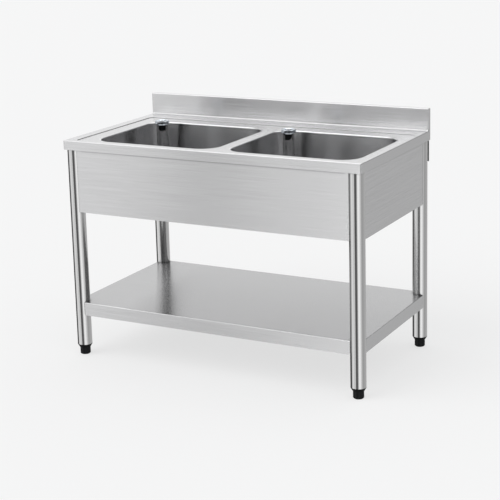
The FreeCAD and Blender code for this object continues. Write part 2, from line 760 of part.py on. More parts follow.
def fastener(name, corner, across, along, turn, height, seat, shank, length, head, head_height, sides):
    """A screw lying along the leg's inward diagonal, its head seated at a radius from the leg."""
    inward = turn + 45
    stem = doc.addObject("Part::Cylinder", f"{name}_{corner}_stem")
    stem.setExpression("Radius", bound(shank))
    stem.setExpression("Height", bound(f"{length} + {head_height} / 2"))
    cap = doc.addObject("Part::Prism", f"{name}_{corner}_cap")
    cap.Polygon = sides
    cap.setExpression("Circumradius", bound(head))
    cap.setExpression("Height", bound(head_height))
    screw = doc.addObject("Part::Fuse", f"{name}_{corner}")
    # both run along the local Z axis, which is then laid down along the diagonal
    stem.setExpression(".Placement.Base.z", bound(f"-{length}"))
    screw.Base = stem
    screw.Tool = cap
    diagonal = Rotation(Vector(0, 0, 1), inward)
    screw.Placement = Placement(Vector(0, 0, 0), diagonal.multiply(Rotation(Vector(0, 1, 0), 90)))
    root = "sqrt(2)"
    screw.setExpression(".Placement.Base.x", bound(f"{leg_x(across)} - {across} * ({seat}) / {root}"))
    screw.setExpression(".Placement.Base.y", bound(f"{leg_y(along)} - {along} * ({seat}) / {root}"))
    screw.setExpression(".Placement.Base.z", bound(height))
    return screw


def gather(name, pieces):
    """Several like pieces kept as one group of separate solids."""
    group = doc.addObject("Part::Compound", name)
    group.Label = name
    group.Links = pieces
    parts.append(group)


def make_fasteners():
    """Shelf bolts with their rivet nuts, and the set screws of the leg sockets."""
    bolts = []
    nuts = []
    set_screws = []
    for corner, across, along, turn in CORNERS:
        bolt_seat = "leg_radius + slip_fit + saddle_thickness"
        bolt_height = "shelf_height - saddle_bolt_drop"
        bolts.append(fastener("shelf_bolt", corner, across, along, turn, bolt_height, bolt_seat,
                              "bolt_radius", "bolt_length", "bolt_head_radius",
                              "bolt_head_height", 6))
        set_screws.append(fastener("set_screw", corner, across, along, turn,
                                   f"{LEG_TOP} - set_screw_drop", "leg_radius",
                                   "set_screw_radius", "leg_wall + slip_fit + socket_wall",
                                   "set_screw_head_radius", "set_screw_head_height", 6))
        sleeve = doc.addObject("Part::Cylinder", f"rivet_nut_{corner}_sleeve")
        sleeve.setExpression("Radius", bound("rivet_nut_radius"))
        sleeve.setExpression("Height", bound("rivet_nut_length"))
        bore = doc.addObject("Part::Cylinder", f"rivet_nut_{corner}_bore")
        bore.setExpression("Radius", bound("bolt_radius + thread_fit"))
        bore.setExpression("Height", bound("rivet_nut_length"))
        nut = doc.addObject("Part::Cut", f"rivet_nut_{corner}")
        nut.Base = sleeve
        nut.Tool = bore
        diagonal = Rotation(Vector(0, 0, 1), turn + 45)
        nut.Placement = Placement(Vector(0, 0, 0), diagonal.multiply(Rotation(Vector(0, 1, 0), 90)))
        start = "(sqrt(leg_radius ^ 2 - rivet_nut_radius ^ 2) - rivet_nut_length) / sqrt(2)"
        nut.setExpression(".Placement.Base.x", bound(f"{leg_x(across)} - {across} * {start}"))
        nut.setExpression(".Placement.Base.y", bound(f"{leg_y(along)} - {along} * {start}"))
        nut.setExpression(".Placement.Base.z", bound(bolt_height))
        nuts.append(nut)
    gather("shelf_bolts", bolts)
    gather("leg_rivet_nuts", nuts)
    gather("socket_set_screws", set_screws)


# ---------------------------------------------------------------- levelling feet

def make_foot(corner, across, along):
    """Plastic insert pushed into the tube, and the screwed foot: steel stud and fluted base."""
    foot = (leg_x(across), leg_y(along))
    bore = "stud_radius + slip_fit"
    plug = f"{TUBE_INSIDE} - slip_fit"
    turned(f"foot_insert_{corner}", [[
        (bore, "insert_length"),
        (bore, "-collar_height"),
        ("collar_tip_radius", "-collar_height"),
        ("leg_radius", "-collar_band"),
        ("leg_radius", "0"),
        (plug, "0"),
        (plug, "insert_length"),
    ]], *foot, "leg_foot_height")

    stud = doc.addObject("Part::Cylinder", f"foot_stud_{corner}")
    stud.Label = f"foot_stud_{corner}"
    stud.setExpression("Radius", bound("stud_radius"))
    stud.setExpression("Height", bound("stud_length"))
    place(stud, *foot, "foot_bore_floor + weld_gap")
    parts.append(stud)

    tall = "leg_foot_height - collar_height - foot_gap"
    base = new_body(f"foot_base_{corner}", *foot)
    disc = new_sketch(base, f"foot_base_{corner}_disc", "XY_Plane")
    add_circle(disc, "0", "0", "foot_radius")
    pad(base, disc, tall)
    socket = new_sketch(base, f"foot_base_{corner}_bore", "XY_Plane", "foot_bore_floor")
    add_circle(socket, "0", "0", bore)
    pocket(base, socket, tall, reverse=True)
    bevel(base, "foot_chamfer", lambda edge: level(edge, 0))
    top = base.Shape.BoundBox.ZMax
    bevel(base, "foot_rim", lambda edge: level(edge, top) and edge.BoundBox.XLength > VALUE["foot_radius"])
    flute = new_sketch(base, f"foot_base_{corner}_flute", "XY_Plane", "flute_floor")
    add_circle(flute, "foot_radius + flute_radius - flute_depth", "0", "flute_radius")
    cut = pocket(base, flute, tall, reverse=True)
    repeat_round(base, cut, "flute_count")


def bevel(body, size, wanted):
    """Chamfer the edges of the newest feature that the test picks out."""
    base = body.Tip
    edges = [f"Edge{k}" for k, edge in enumerate(base.Shape.Edges, start=1) if wanted(edge)]
    chamfer = body.newObject("PartDesign::Chamfer", f"{body.Name}_bevel")
    chamfer.Base = (base, edges)
    chamfer.setExpression("Size", bound(size))
    doc.recompute()
    return chamfer


# ---------------------------------------------------------------- waste fittings and overflow pipes

def make_waste(side):
    """Strainer-less waste: dished flange with a threaded neck, gasket, back nut and tail."""
    drain = (DRAIN_X[side], DRAIN_Y, DRAIN_TOP)
    bore = "plug_tip_radius + seat_gap"
    seat = (
        "plug_tip_radius + (plug_top_radius - plug_tip_radius)"
        " * (plug_sink + waste_flange_thickness) / plug_height + seat_gap"
    )
    under = "(-bowl_sheet - waste_gasket_thickness)"
    turned(f"waste_flange_{side}", [[
        (bore, "-waste_neck_length"),
        ("waste_thread_radius", "-waste_neck_length"),
        ("waste_thread_radius", "0"),
        ("waste_flange_radius", "0"),
        ("waste_flange_radius", "waste_flange_thickness / 2"),
        ("waste_flange_radius - waste_flange_thickness", "waste_flange_thickness"),
        (seat, "waste_flange_thickness"),
        (bore, "-plug_sink"),
    ]], *drain)
    turned(f"waste_gasket_{side}", [[
        ("drain_hole_radius", under),
        ("waste_gasket_radius", under),
        ("waste_gasket_radius", "-bowl_sheet"),
        ("drain_hole_radius", "-bowl_sheet"),
    ]], *drain)
    turned(f"waste_nut_{side}", [[
        ("waste_thread_radius + thread_fit", f"{under} - waste_nut_height"),
        ("waste_nut_radius - waste_flange_thickness", f"{under} - waste_nut_height"),
        ("waste_nut_radius", f"{under} - waste_nut_height + waste_flange_thickness"),
        ("waste_nut_radius", under),
        ("waste_thread_radius + thread_fit", under),
    ]], *drain)
    cup = "(waste_thread_radius + thread_fit)"
    shoulder = "(-waste_neck_length - seat_gap)"
    wall = "(outlet_radius - outlet_bore_radius)"
    turned(f"waste_tail_{side}", [[
        ("outlet_bore_radius", "-waste_tail_length"),
        ("outlet_radius", "-waste_tail_length"),
        ("outlet_radius", "-waste_tail_length + outlet_length"),
        (f"{cup} + {wall}", f"{shoulder} - {wall} / 2"),
        (f"{cup} + {wall}", f"{shoulder} + outlet_length / 2"),
        (cup, f"{shoulder} + outlet_length / 2"),
        (cup, shoulder),
        ("outlet_bore_radius", shoulder),
    ]], *drain)


# bearings of one rim notch of each pipe, and of one hole of each crown
NOTCH_TURN = {"left": -58, "right": -78}
CROWN_TURN = -58


def make_overflow_pipe(side):
    """Lift-out overflow pipe: tube with rim notches, plug at its foot, core and crown on top."""
    drain = (DRAIN_X[side], DRAIN_Y, DRAIN_TOP)
    rim = f"(worktop_height + crown_rise - ({DRAIN_TOP}))"
    pipe = new_body(f"overflow_pipe_{side}", *drain, NOTCH_TURN[side])
    wall = new_sketch(pipe, f"overflow_pipe_{side}_wall", "XY_Plane", "-plug_sink")
    add_circle(wall, "0", "0", "pipe_radius")
    add_circle(wall, "0", "0", "pipe_radius - pipe_wall")
    pad(pipe, wall, f"{rim} + plug_sink")
    # round-bottomed notches leave narrow tongues, which carry the crown
    notch = new_sketch(pipe, f"overflow_pipe_{side}_notch", "YZ_Plane")
    add_round_rectangle(notch, "-pipe_notch_width / 2", "pipe_notch_width / 2",
                        f"{rim} - pipe_notch_depth", f"{rim} + pipe_notch_depth", "pipe_notch_radius")
    cut = pocket(pipe, notch, "pipe_radius + pipe_wall", reverse=True)
    repeat_round(pipe, cut, "pipe_notch_count")

    turned(f"overflow_plug_{side}", [[
        ("pipe_radius", "-plug_sink"),
        ("plug_tip_radius", "-plug_sink"),
        ("plug_top_radius", "plug_height - plug_sink"),
        ("plug_top_radius - pipe_wall", "plug_height - plug_sink + pipe_wall"),
        ("pipe_radius", "plug_height - plug_sink + pipe_wall"),
    ]], *drain)

    collar = "(pipe_radius - pipe_wall - slip_fit)"
    turned(f"overflow_core_{side}", [[
        ("core_bore_radius", f"{rim} - core_drop"),
        ("core_radius / 2", f"{rim} - core_drop"),
        ("core_radius", f"{rim} - core_drop / 2"),
        ("core_radius", f"{rim} - core_collar"),
        (collar, f"{rim} - core_collar"),
        (collar, rim),
        ("core_radius", rim),
        ("core_radius", f"{rim} + crown_height - 2 * pipe_wall"),
        ("core_bore_radius", f"{rim} + crown_height - 2 * pipe_wall"),
    ]], *drain)

    # a hollow strainer cap: flared foot, upright band, rolled lip and a dished top round the core
    hub = "(core_radius + slip_fit)"
    top = f"{rim} + crown_height"
    crown = turned(f"overflow_crown_{side}", [[
        ("pipe_radius - pipe_wall", rim),
        ("pipe_radius + crown_skin", rim),
        ("crown_radius", f"{rim} + crown_flare"),
        ("crown_radius", f"{top} - crown_skin"),
        ("crown_radius - crown_skin", top),
        ("crown_radius - crown_lip", top),
        (hub, f"{top} - crown_dish"),
        (hub, f"{top} - crown_dish - crown_skin"),
        ("crown_radius - crown_lip", f"{top} - crown_skin"),
        ("crown_radius - crown_skin", f"{top} - 2 * crown_skin"),
        ("crown_radius - crown_skin", f"{rim} + crown_flare"),
        ("pipe_radius", f"{rim} + crown_skin"),
        ("pipe_radius - pipe_wall", f"{rim} + crown_skin"),
    ]], *drain, CROWN_TURN)
    holes = new_sketch(crown, f"overflow_crown_{side}_holes", "YZ_Plane", "core_radius + pipe_wall")
    add_circle(holes, "0", f"{rim} + (crown_flare + crown_height - crown_skin) / 2", "crown_hole_radius")
    add_circle(holes, "0", f"{rim} + crown_flare / 2", "crown_weep_radius")
    cut = pocket(crown, holes, "crown_radius", reverse=True)
    repeat_round(crown, cut, "crown_hole_count")


# ---------------------------------------------------------------- the assembly

make_worktop()
for side in ("left", "right"):
    make_bowl(side)
make_panels()
make_hat_rib(
    "worktop_rib",
    f"{BOWL_X['right']} - bowl_width / 2 - bowl_gap / 2",
    "0",
    f"{FIELD} - worktop_sheet",
    90,
    "rib_width",
    "rib_height",
    "rib_flange",
    "panel_sheet",
    "overall_depth - 2 * edge_lip",
)
make_shelf()
make_hat_rib(
    "shelf_rib",
    "0",
    "0",
    "shelf_height - panel_sheet",
    0,
    "shelf_rib_width",
    "shelf_rib_height",
    "shelf_rib_flange",
    "panel_sheet",
    "overall_width - 2 * (shelf_setback + shelf_lip)",
)
for corner, across, along, turn in CORNERS:
    make_leg(corner, across, along, turn)
    make_foot(corner, across, along)
make_fasteners()
for side in ("left", "right"):
    make_waste(side)
    make_overflow_pipe(side)
doc.recompute()

for item in doc.Objects:
    if "Invalid" in item.State or "Error" in item.State:
        raise RuntimeError(f"{item.Name} is in state {item.State}")
for part in parts:
    if part.Shape.isNull() or not part.Shape.isValid():
        raise RuntimeError(f"{part.Label} has no valid shape")

os.makedirs("parts", exist_ok=True)
for part in parts:
    part.Shape.exportStep(f"parts/{part.Label}.step")
    print(f"{part.Label:26s} {len(part.Shape.Solids)} solids  {part.Shape.Volume:12.1f} mm3")
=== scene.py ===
import math

import bmesh
import bpy
from mathutils import Matrix, Vector


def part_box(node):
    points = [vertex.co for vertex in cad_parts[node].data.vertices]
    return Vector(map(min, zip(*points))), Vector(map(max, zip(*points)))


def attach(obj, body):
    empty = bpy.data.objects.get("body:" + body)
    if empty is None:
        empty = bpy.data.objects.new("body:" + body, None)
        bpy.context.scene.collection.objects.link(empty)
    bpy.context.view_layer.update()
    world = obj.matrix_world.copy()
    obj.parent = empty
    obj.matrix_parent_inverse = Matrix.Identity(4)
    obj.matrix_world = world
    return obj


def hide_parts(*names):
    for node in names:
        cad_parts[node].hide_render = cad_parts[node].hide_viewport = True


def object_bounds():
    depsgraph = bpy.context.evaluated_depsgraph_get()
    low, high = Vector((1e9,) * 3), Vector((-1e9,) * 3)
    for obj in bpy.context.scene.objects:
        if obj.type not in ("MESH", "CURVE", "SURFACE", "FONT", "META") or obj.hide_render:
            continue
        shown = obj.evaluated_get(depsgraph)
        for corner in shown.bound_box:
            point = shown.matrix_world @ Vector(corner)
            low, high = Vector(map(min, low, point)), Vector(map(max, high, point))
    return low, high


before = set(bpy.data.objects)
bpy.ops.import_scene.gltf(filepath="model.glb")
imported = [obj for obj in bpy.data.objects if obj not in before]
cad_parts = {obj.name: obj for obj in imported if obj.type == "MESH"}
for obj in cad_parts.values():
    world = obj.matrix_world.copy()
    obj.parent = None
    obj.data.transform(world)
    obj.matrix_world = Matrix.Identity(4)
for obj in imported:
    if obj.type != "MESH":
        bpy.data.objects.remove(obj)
cad_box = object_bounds()


# ---- Studio: a pale floor under a pale surround, and soft daylight from the front left.
# Polished metal shows whatever stands round it.  The surround is a ring of light panels with soft
# grey stretches between them and a lit ceiling, and only the metal mirrors those.

PAPER = "f6f6f6"
DAYLIGHT = "f4f5f6"
DAYLIGHT_STRENGTH = 0.86
KEY_STRENGTH = 1.0
KEY_SPREAD = math.radians(50)
KEY_AIM = Vector((0.62, 0.75, -0.92))
FLOOR_REACH = 60.0
FLOOR_GLOW = 0.72       # the floor's share of plain paper, where the rest keeps the shadow
BRIGHTEST = 2.4         # the levels below are divided by it, since a ramp holds 1.0 at most
HORIZON_FROM = -0.04    # the lower ring passes into the upper one between these sines
HORIZON_FULL = 0.06     # of the height angle

# what the metal sees by bearing in degrees (0 to the right, -90 to the front), from black upwards
RING_BELOW_HORIZON = (
    (-180, 0.02), (-171, 0.40), (-158, 0.85), (-140, 1.00), (-128, 0.86), (-119.5, 0.66), (-113.5, 1.00),
    (-108, 0.74), (-101, 0.22), (-93, 0.10), (-78, 0.12), (-69, 0.42), (-58, 1.14), (-40, 1.18), (-25, 0.88),
    (-10, 0.60), (5, 0.44), (22, 0.48), (41, 0.52), (62, 0.56), (80, 0.50), (105, 0.80), (132, 0.50),
    (146, 0.02), (180, 0.02),
)
RING_ABOVE_HORIZON = (
    (-180, 0.46), (-160, 0.80), (-140, 1.05), (-128, 1.00), (-106, 1.00), (-98, 0.40), (-80, 0.12),
    (-45, 0.10), (-25, 0.25), (5, 0.25), (40, 0.18), (72, 0.35), (98, 1.02), (135, 1.02),
    (155, 0.60), (180, 0.46),
)
# three tall lamps in front, which stand in the backsplash as soft bright bands
LAMPS_ABOVE_HORIZON = (
    (-128, 1.0), (-124, 1.7), (-121.8, 1.7), (-120.2, 0.15), (-118.6, 0.2), (-117.0, 2.0), (-116.3, 2.0),
    (-115.1, 0.12), (-113.6, 0.15), (-112.3, 2.4), (-111.5, 2.3), (-110.0, 0.7), (-106, 1.0),
)
# what lies above and below the ring, and the sines between which the ring passes into it
CEILING = 1.9         # the lit cove where the wall panels end
CEILING_FROM = 0.66
CEILING_FULL = 0.86
ZENITH = 0.85         # the plain ceiling above it
ZENITH_FROM = 0.90
ZENITH_FULL = 0.97
GROUND = 0.22         # the floor in the unit's own shadow
GROUND_FROM = -0.40
GROUND_FULL = -0.80


def linear(colour):
    """An sRGB hex colour as linear red, green, blue and alpha."""
    out = []
    for k in (0, 2, 4):
        level = int(colour[k:k + 2], 16) / 255
        out.append(level / 12.92 if level <= 0.04045 else ((level + 0.055) / 1.055) ** 2.4)
    return (*out, 1.0)


def add_node(tree, kind, links=None, settings=None, **values):
    """A node with its settings, its socket values and the links into it."""
    node = tree.nodes.new(kind)
    for key, value in (settings or {}).items():
        setattr(node, key, value)
    for key, value in values.items():
        node.inputs[key.replace("_", " ")].default_value = value
    for key, source in (links or {}).items():
        tree.links.new(source, node.inputs[key])
    return node


def panel_ring(tree, bearing, stops):
    """The surround's brightness by bearing, as a ramp that runs from the first stop to the last."""
    first, last = stops[0][0], stops[-1][0]
    turn = add_node(tree, "ShaderNodeMapRange", {"Value": bearing},
                    From_Min=math.radians(first), From_Max=math.radians(last))
    ramp = add_node(tree, "ShaderNodeValToRGB", {"Fac": turn.outputs["Result"]})
    band = ramp.color_ramp
    band.interpolation = "EASE"
    band.elements.remove(band.elements[-1])
    for number, (bearing, level) in enumerate(stops):
        place = (bearing - first) / (last - first)
        stop = band.elements[0] if number == 0 else band.elements.new(place)
        stop.position = place
        grey = level / BRIGHTEST
        stop.color = (grey, grey, grey, 1.0)
    return ramp.outputs["Color"]


def new_material(name):
    """A material with an empty node tree, and that tree."""
    material = bpy.data.materials.new(name)
    material.use_nodes = True
    material.node_tree.nodes.clear()
    return material, material.node_tree


world = bpy.data.worlds.new("studio")
bpy.context.scene.world = world
world.use_nodes = True
tree = world.node_tree
tree.nodes.clear()
ray = add_node(tree, "ShaderNodeLightPath")
place = add_node(tree, "ShaderNodeTexCoord")
way = add_node(tree, "ShaderNodeSeparateXYZ", {0: place.outputs["Generated"]})
bearing = add_node(tree, "ShaderNodeMath", {0: way.outputs["Y"], 1: way.outputs["X"]},
                   {"operation": "ARCTAN2"})
above = add_node(tree, "ShaderNodeMapRange", {"Value": way.outputs["Z"]},
                 {"interpolation_type": "SMOOTHSTEP"}, From_Min=HORIZON_FROM, From_Max=HORIZON_FULL)
lower_ring = panel_ring(tree, bearing.outputs[0], RING_BELOW_HORIZON)
upper_ring = panel_ring(tree, bearing.outputs[0], RING_ABOVE_HORIZON)
lamps = add_node(tree, "ShaderNodeMath", {0: panel_ring(tree, bearing.outputs[0], LAMPS_ABOVE_HORIZON),
                                          1: upper_ring}, {"operation": "MULTIPLY"})
lamps_in_full = add_node(tree, "ShaderNodeMath", {0: lamps.outputs[0]}, {"operation": "MULTIPLY"})
lamps_in_full.inputs[1].default_value = BRIGHTEST
ring = add_node(tree, "ShaderNodeMix", {"Factor": above.outputs["Result"], 6: lower_ring,
                                        7: lamps_in_full.outputs[0]}, {"data_type": "RGBA"})
room = ring
for level, start, full in ((CEILING, CEILING_FROM, CEILING_FULL), (ZENITH, ZENITH_FROM, ZENITH_FULL),
                           (GROUND, GROUND_FROM, GROUND_FULL)):
    share = add_node(tree, "ShaderNodeMapRange", {"Value": way.outputs["Z"]},
                     {"interpolation_type": "SMOOTHSTEP"}, From_Min=start, From_Max=full)
    room = add_node(tree, "ShaderNodeMix", {"Factor": share.outputs["Result"], 6: room.outputs[2]},
                    {"data_type": "RGBA"})
    room.inputs[7].default_value = [level / BRIGHTEST] * 3 + [1.0]
mirrors = add_node(tree, "ShaderNodeMath", {0: ray.outputs["Is Glossy Ray"],
                                            1: ray.outputs["Is Transmission Ray"]},
                   {"operation": "MAXIMUM"})
daylight = add_node(tree, "ShaderNodeBackground", Color=linear(DAYLIGHT), Strength=DAYLIGHT_STRENGTH)
mirrored = add_node(tree, "ShaderNodeBackground", {"Color": room.outputs[2]}, Strength=BRIGHTEST)
paper = add_node(tree, "ShaderNodeBackground", Color=linear(PAPER), Strength=1.0)
unseen = add_node(tree, "ShaderNodeMixShader", {0: mirrors.outputs[0], 1: daylight.outputs[0],
                                                2: mirrored.outputs[0]})
whole = add_node(tree, "ShaderNodeMixShader", {0: ray.outputs["Is Camera Ray"], 1: unseen.outputs[0],
                                               2: paper.outputs[0]})
add_node(tree, "ShaderNodeOutputWorld", {"Surface": whole.outputs[0]})

bpy.ops.object.light_add(type="SUN")
key = bpy.context.object
key.name = "key_light"
key.data.energy = KEY_STRENGTH
key.data.angle = KEY_SPREAD
key.visible_glossy = False
key.rotation_euler = KEY_AIM.to_track_quat("-Z", "Y").to_euler()

# studio floor: matt white paper that keeps the unit's shadow
shape = bmesh.new()
bmesh.ops.create_grid(shape, x_segments=2, y_segments=2, size=FLOOR_REACH)
mesh = bpy.data.meshes.new("floor")
shape.to_mesh(mesh)
shape.free()
floor = bpy.data.objects.new("floor", mesh)
bpy.context.collection.objects.link(floor)
floor.location.z = cad_box[0][2]
paper_sheet, tree = new_material("matt_white_paper")
ray = add_node(tree, "ShaderNodeLightPath")
matt = add_node(tree, "ShaderNodeBsdfDiffuse", Color=linear(PAPER))
shown = add_node(tree, "ShaderNodeEmission", Color=linear(PAPER), Strength=1.0)
seen = add_node(tree, "ShaderNodeMixShader", {1: matt.outputs[0], 2: shown.outputs[0]}, Fac=FLOOR_GLOW)
whole = add_node(tree, "ShaderNodeMixShader", {0: ray.outputs["Is Camera Ray"], 1: matt.outputs[0],
                                               2: seen.outputs[0]})
add_node(tree, "ShaderNodeOutputMaterial", {"Surface": whole.outputs[0]})
mesh.materials.append(paper_sheet)
floor.visible_glossy = False


# ---- Camera: at standing height, a long lens from the front right, with the frame shifted down
# so that the unit stands where it does in the photograph.

CAMERA_PLACE = Vector((2.3491, -4.3774, 1.7588))
CAMERA_YAW = -0.491
CAMERA_PITCH = -0.213
CAMERA_ROLL = -0.026
FOCAL_PIXELS = 1360.4
IMAGE_PIXELS = 500
AXIS_PIXEL_Y = 175
SENSOR = 36.0

forward = Vector((math.sin(CAMERA_YAW) * math.cos(CAMERA_PITCH),
                  math.cos(CAMERA_YAW) * math.cos(CAMERA_PITCH), math.sin(CAMERA_PITCH)))
right = Vector((math.cos(CAMERA_YAW), -math.sin(CAMERA_YAW), 0.0))
upward = right.cross(forward)
turned_right = math.cos(CAMERA_ROLL) * right + math.sin(CAMERA_ROLL) * upward
turned_up = -math.sin(CAMERA_ROLL) * right + math.cos(CAMERA_ROLL) * upward
lens = bpy.data.cameras.new("camera")
camera = bpy.data.objects.new("camera", lens)
bpy.context.collection.objects.link(camera)
camera.matrix_world = Matrix.Translation(CAMERA_PLACE) @ Matrix(
    (turned_right, turned_up, -forward)).transposed().to_4x4()
lens.sensor_width = SENSOR
lens.lens = FOCAL_PIXELS / IMAGE_PIXELS * SENSOR
lens.shift_y = (AXIS_PIXEL_Y - IMAGE_PIXELS / 2) / IMAGE_PIXELS
bpy.context.scene.camera = camera
bpy.context.scene.view_settings.view_transform = "Standard"


# ---- Worktop, aprons, rear rail, undershelf with its saddles, and the two stiffeners: folded
# stainless sheet, welded and ground flush.  The sheet leaves the belt grinder with fine parallel
# lines, so it mirrors the room drawn out across the lines, and fairly sharp along them.

SHEET = "dadadb"
SHELF_TOP_SHADE = 0.70       # painted shade: the shelf's upward faces are darker than its folded edges
LINE_PITCH = 0.0007     # real lines lie 0.1 to 0.3 mm apart, drawn coarser so that they show close up
LINE_LENGTH = 0.06
LINE_DEPTH = 0.00005
STREAK_PITCH = 0.0035   # streaks a few millimetres wide, left where the belt was worn
STREAK_LENGTH = 0.3
STREAK_SHARE = 0.5      # of the tone; the rest comes from the fine lines
TONE_STOPS = (0.3, 0.7)     # values of a noise at which a tone is at its darkest and lightest
SHEET_TONES = (0.92, 1.08)
SHEET_GLOSS = (0.18, 0.22)
TOP_FROM = 0.90         # a face is taken for a top as its normal's height goes from this
TOP_FULL = 0.99         # to this
SEAM_REACH = 0.012      # how far the painted shade of a joint spreads from it
SEAM_SHADE = 0.42       # the painted shade's darkness right in the joint
SEAM_CLOSED = 0.45      # how open a place is where that shade is full
SEAM_OPEN = 0.92        # and where it ends
SEAM_RAYS = 8           # directions tried from each point


def painted_joint_shade(tree):
    """Painted shade: the colour darkens where two pieces meet, the more closed in the place is."""
    near = add_node(tree, "ShaderNodeAmbientOcclusion", settings={"samples": SEAM_RAYS},
                    Distance=SEAM_REACH)
    shade = add_node(tree, "ShaderNodeMapRange", {"Value": near.outputs["AO"]},
                     From_Min=SEAM_CLOSED, From_Max=SEAM_OPEN, To_Min=SEAM_SHADE, To_Max=1.0)
    return shade.outputs["Result"]


def brushed_stainless(name, along, top_share=1.0):
    """Stainless sheet ground along X (0) or Y (1); its tops get painted shade at top_share of the
    brightness.
    """
    steel, tree = new_material(name)
    place = add_node(tree, "ShaderNodeTexCoord")
    noises = []
    for pitch, length in ((LINE_PITCH, LINE_LENGTH), (STREAK_PITCH, STREAK_LENGTH)):
        scale = [1 / pitch] * 3
        scale[along] = 1 / length
        laid = add_node(tree, "ShaderNodeMapping", {"Vector": place.outputs["Object"]}, Scale=scale)
        noises.append(add_node(tree, "ShaderNodeTexNoise", {"Vector": laid.outputs[0]},
                               Scale=1.0, Detail=2.0))
    lines, streaks = noises
    both = add_node(tree, "ShaderNodeMix", {2: lines.outputs["Fac"], 3: streaks.outputs["Fac"]},
                    Factor=STREAK_SHARE)
    tone = add_node(tree, "ShaderNodeValToRGB", {"Fac": both.outputs[0]})
    base = linear(SHEET)
    for stop, position, share in zip(tone.color_ramp.elements, TONE_STOPS, SHEET_TONES):
        stop.position = position
        stop.color = [value * share for value in base[:3]] + [1.0]
    facing = add_node(tree, "ShaderNodeNewGeometry")
    turned = add_node(tree, "ShaderNodeSeparateXYZ", {0: facing.outputs["Normal"]})
    top_shade = add_node(tree, "ShaderNodeMapRange", {"Value": turned.outputs["Z"]},
                    From_Min=TOP_FROM, From_Max=TOP_FULL, To_Min=1.0, To_Max=top_share)
    # painted shade: the tops and the joints darken the sheet's colour
    share = add_node(tree, "ShaderNodeMath", {0: top_shade.outputs["Result"], 1: painted_joint_shade(tree)},
                     {"operation": "MULTIPLY"})
    shaded_tone = add_node(tree, "ShaderNodeVectorMath", {0: tone.outputs["Color"], "Scale": share.outputs[0]},
                    {"operation": "SCALE"})
    gloss = add_node(tree, "ShaderNodeMapRange", {"Value": streaks.outputs["Fac"]},
                     To_Min=SHEET_GLOSS[0], To_Max=SHEET_GLOSS[1])
    relief = add_node(tree, "ShaderNodeBump", {"Height": lines.outputs["Fac"]},
                      Strength=0.05, Distance=LINE_DEPTH)
    # the highlight is drawn out square to the lines
    across = add_node(tree, "ShaderNodeCombineXYZ")
    for axis in range(3):
        across.inputs[axis].default_value = 0.0 if axis == along else 1.0
    surface = add_node(tree, "ShaderNodeBsdfPrincipled",
                       {"Base Color": shaded_tone.outputs[0], "Roughness": gloss.outputs["Result"],
                        "Normal": relief.outputs["Normal"], "Tangent": across.outputs[0]},
                       Metallic=1.0, Anisotropic=1.0)
    add_node(tree, "ShaderNodeOutputMaterial", {"Surface": surface.outputs[0]})
    return steel


def dress(material, *nodes):
    """Give every slot of these CAD nodes one material."""
    for node in nodes:
        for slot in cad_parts[node].material_slots:
            slot.material = material


CORNERS = ("front_left", "front_right", "rear_left", "rear_right")
dress(brushed_stainless("brushed_stainless_lengthways", 0),
      "worktop", "front_apron", "rear_rail", *[f"shelf_saddle_{corner}" for corner in CORNERS])
dress(brushed_stainless("brushed_stainless_crossways", 1), "left_apron", "right_apron", "worktop_rib")
# the shelf's upward faces are painted darker, as painted shade
dress(brushed_stainless("shelf_stainless_with_painted_top_shade", 0, SHELF_TOP_SHADE), "undershelf", "shelf_rib")


# ---- Bowls: pressed from thinner stainless sheet, with the drawn walls polished satin inside.
# They are smoother than the worktop, so the dark of the bowl's own walls stands in them, with a
# bright line where the mouth turns over.

BOWL = "dcdcdd"
BOWL_TONES = (0.97, 1.03)
BOWL_GLOSS = (0.17, 0.22)
POLISH_PITCH = 0.0012   # polishing marks, coarser than the real 0.1 mm so that they show
POLISH_LENGTH = 0.03
POLISH_DEPTH = 0.00004
POLISH_CLOUD = 1 / 9    # uneven polish, a hand's breadth wide

bowl_steel, tree = new_material("satin_drawn_stainless")
place = add_node(tree, "ShaderNodeTexCoord")
laid = add_node(tree, "ShaderNodeMapping", {"Vector": place.outputs["Object"]},
                Scale=(1 / POLISH_PITCH, 1 / POLISH_PITCH, 1 / POLISH_LENGTH))
marks = add_node(tree, "ShaderNodeTexNoise", {"Vector": laid.outputs[0]}, Scale=1.0, Detail=2.0)
wide = add_node(tree, "ShaderNodeMapping", {"Vector": place.outputs["Object"]},
                Scale=[1 / POLISH_CLOUD] * 3)
clouds = add_node(tree, "ShaderNodeTexNoise", {"Vector": wide.outputs[0]}, Scale=1.0, Detail=1.0)
tone = add_node(tree, "ShaderNodeValToRGB", {"Fac": marks.outputs["Fac"]})
base = linear(BOWL)
for stop, position, share in zip(tone.color_ramp.elements, TONE_STOPS, BOWL_TONES):
    stop.position = position
    stop.color = [value * share for value in base[:3]] + [1.0]
gloss = add_node(tree, "ShaderNodeMapRange", {"Value": clouds.outputs["Fac"]},
                 To_Min=BOWL_GLOSS[0], To_Max=BOWL_GLOSS[1])
relief = add_node(tree, "ShaderNodeBump", {"Height": marks.outputs["Fac"]},
                  Strength=0.04, Distance=POLISH_DEPTH)
upright = add_node(tree, "ShaderNodeCombineXYZ", Z=1.0)
surface = add_node(tree, "ShaderNodeBsdfPrincipled",
                   {"Base Color": tone.outputs["Color"], "Roughness": gloss.outputs["Result"],
                    "Normal": relief.outputs["Normal"], "Tangent": upright.outputs[0]},
                   Metallic=1.0, Anisotropic=0.9)
add_node(tree, "ShaderNodeOutputMaterial", {"Surface": surface.outputs[0]})
dress(bowl_steel, "left_bowl", "right_bowl")


# ---- Legs and overflow pipes: welded round stainless tube, ground round and polished lengthwise.
# The polish is bright, so each side of the studio stands in a tube as a sharp upright stripe.

TUBE = "d8d8d8"
DRAW_PITCH = 0.0011     # drawing marks, coarser than the real 0.1 mm so that they show
DRAW_LENGTH = 0.17
DRAW_DEPTH = 0.00005
TUBE_TONES = (0.98, 1.02)
TUBE_GLOSS = (0.10, 0.17)

